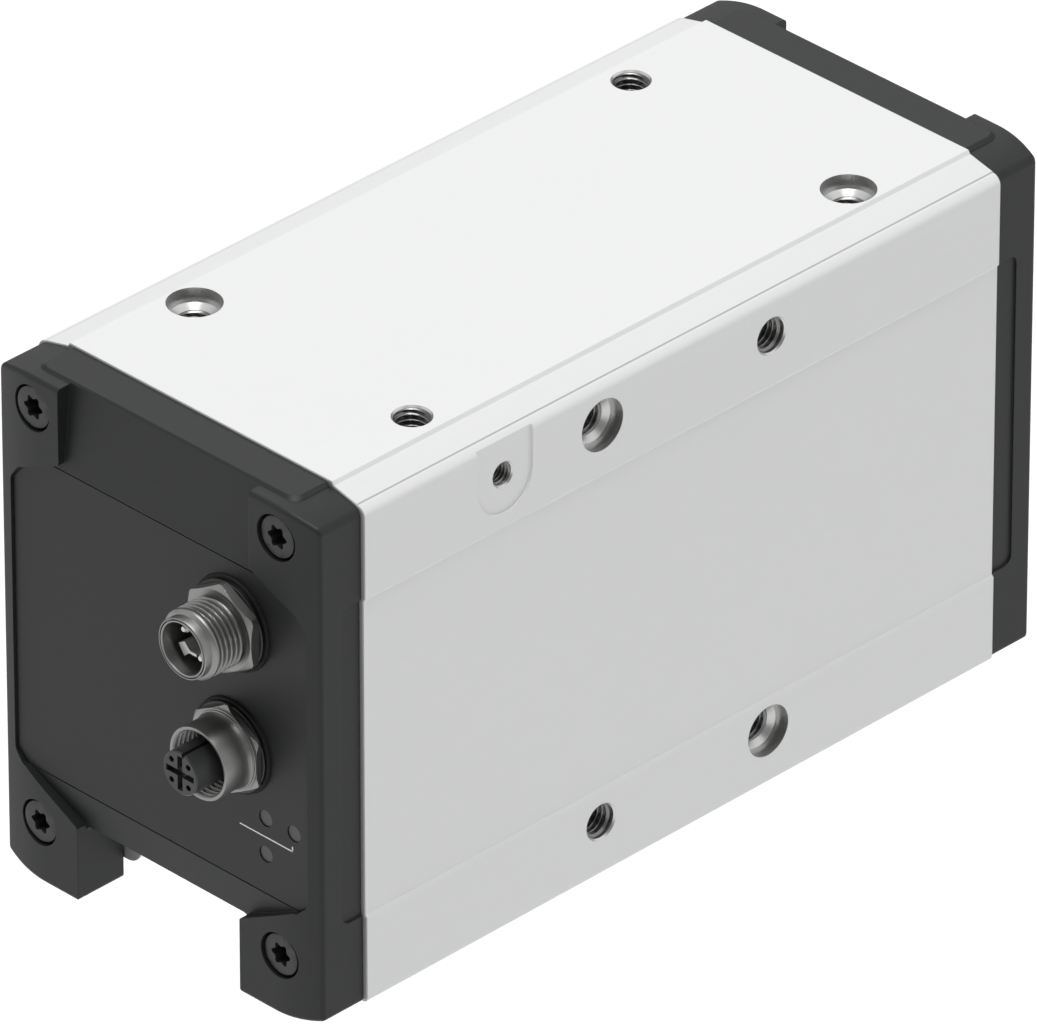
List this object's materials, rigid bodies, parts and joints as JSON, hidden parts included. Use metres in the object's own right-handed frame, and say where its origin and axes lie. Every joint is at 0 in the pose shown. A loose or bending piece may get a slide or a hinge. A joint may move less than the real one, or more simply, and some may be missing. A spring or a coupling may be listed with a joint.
{
  "type": "electric parallel gripper",
  "caption": "Electric parallel gripper: extruded housing with end covers, cable connectors and two opposed base jaws driven by racks and a pinion.",
  "frame": {"origin": "centre of the top mounting face of the housing", "axes": "+X along the gripping axis and the housing's length, the connectors are at the -X end; +Z out of the top mounting face, the jaws are on the -Z side"},
  "size_m": [0.172, 0.072, 0.0953],
  "materials": {
    "anodised_profile": "clear anodised, fine satin",
    "cover_black": "matt black powder coat, fine texture",
    "panel_foil": "matt printed foil, bare",
    "gasket_rubber": "matt",
    "black_steel": "black oxide, satin",
    "nickel_shell": "satin nickel plate",
    "insert_plastic": "matt moulded",
    "gold_contact": "gold plated",
    "indicator_lens": "smoked, satin",
    "steel_ground": "ground and hardened",
    "jaw_aluminium": "hard anodised, satin grey",
    "plate_aluminium": "milled",
    "circuit_board": "green solder mask",
    "chip_black": "moulded",
    "capacitor_can": "bright can",
    "header_plastic": "moulded",
    "brass_post": "turned",
    "motor_black": "satin black",
    "electrical_steel": "laminated",
    "copper_wire": "enamelled copper",
    "magnet": "nickel plated",
    "zinc_steel": "zinc plated",
    "lead_sleeve": "smooth sleeve"
  },
  "bodies": {
    "housing": {"housing_profile": "anodised_profile", "front_cover": "cover_black", "rear_cover": "cover_black", "front_panel_foil": "panel_foil", "front_gasket": "gasket_rubber", "rear_gasket": "gasket_rubber", "cover_screws": "black_steel", "power_connector_shell": "nickel_shell", "power_connector_insert": "insert_plastic", "power_connector_contacts": "gold_contact", "power_connector_seal": "gasket_rubber", "com_connector_shell": "nickel_shell", "com_connector_insert": "insert_plastic", "com_connector_contacts": "gold_contact", "com_connector_seal": "gasket_rubber", "connector_back_nuts": "nickel_shell", "indicator_lenses": "indicator_lens", "connector_board": "circuit_board", "control_board": "circuit_board", "power_board": "circuit_board", "power_board_capacitors": "capacitor_can", "board_chips": "chip_black", "board_standoffs": "brass_post", "board_screws": "zinc_steel", "board_headers": "header_plastic", "bearing_plate": "plate_aluminium", "chassis_plate": "plate_aluminium", "chassis_screws": "zinc_steel", "chassis_spacers": "plate_aluminium", "drive_bearing_outer_rings": "steel_ground", "drive_bearing_balls": "steel_ground", "motor_flange": "plate_aluminium", "motor_can": "motor_black", "motor_end_bell": "motor_black", "motor_screws": "zinc_steel", "stator_core": "electrical_steel", "stator_windings": "copper_wire", "motor_bearing_outer_rings": "steel_ground", "motor_bearing_balls": "steel_ground", "encoder_board": "circuit_board", "encoder_board_posts": "brass_post", "motor_phase_leads": "lead_sleeve", "guide_rail_left": "steel_ground", "guide_rail_right": "steel_ground", "guide_rail_screws": "black_steel"},
    "jaw_a": {"base_jaw_a": "jaw_aluminium", "rack_a": "steel_ground", "rack_screws_a": "black_steel"},
    "jaw_b": {"base_jaw_b": "jaw_aluminium", "rack_b": "steel_ground", "rack_screws_b": "black_steel"},
    "drive_shaft": {"drive_shaft_pinion": "steel_ground", "drive_gear": "steel_ground", "drive_gear_spacers": "zinc_steel", "drive_bearing_inner_rings": "steel_ground"},
    "rotor": {"motor_shaft_pinion": "steel_ground", "rotor_core": "electrical_steel", "rotor_magnets": "magnet", "motor_bearing_inner_rings": "steel_ground", "encoder_magnet": "magnet"}
  },
  "joints": [
    {"name": "jaw_a_slide", "type": "slide", "parent": "housing", "child": "jaw_a", "axis": [-1, 0, 0], "range_m": [0, 0.041]},
    {"name": "jaw_b_slide", "type": "slide", "parent": "housing", "child": "jaw_b", "axis": [1, 0, 0], "range_m": [0, 0.041]},
    {"name": "drive_shaft_spin", "type": "hinge", "parent": "housing", "child": "drive_shaft", "pos_m": [0, 0, -0.07225], "axis": [0, 0, 1], "range_deg": [0, 294]},
    {"name": "rotor_spin", "type": "hinge", "parent": "housing", "child": "rotor", "pos_m": [0.0264, 0, -0.04225], "axis": [0, 0, 1], "range_deg": [-918, 0]}
  ],
  "couplings": [
    {"joint": "jaw_b_slide", "follows": "jaw_a_slide", "ratio": 1},
    {"joint": "drive_shaft_spin", "follows": "jaw_a_slide", "rad_per_m": 125},
    {"joint": "rotor_spin", "follows": "jaw_a_slide", "rad_per_m": -390.62}
  ]
}
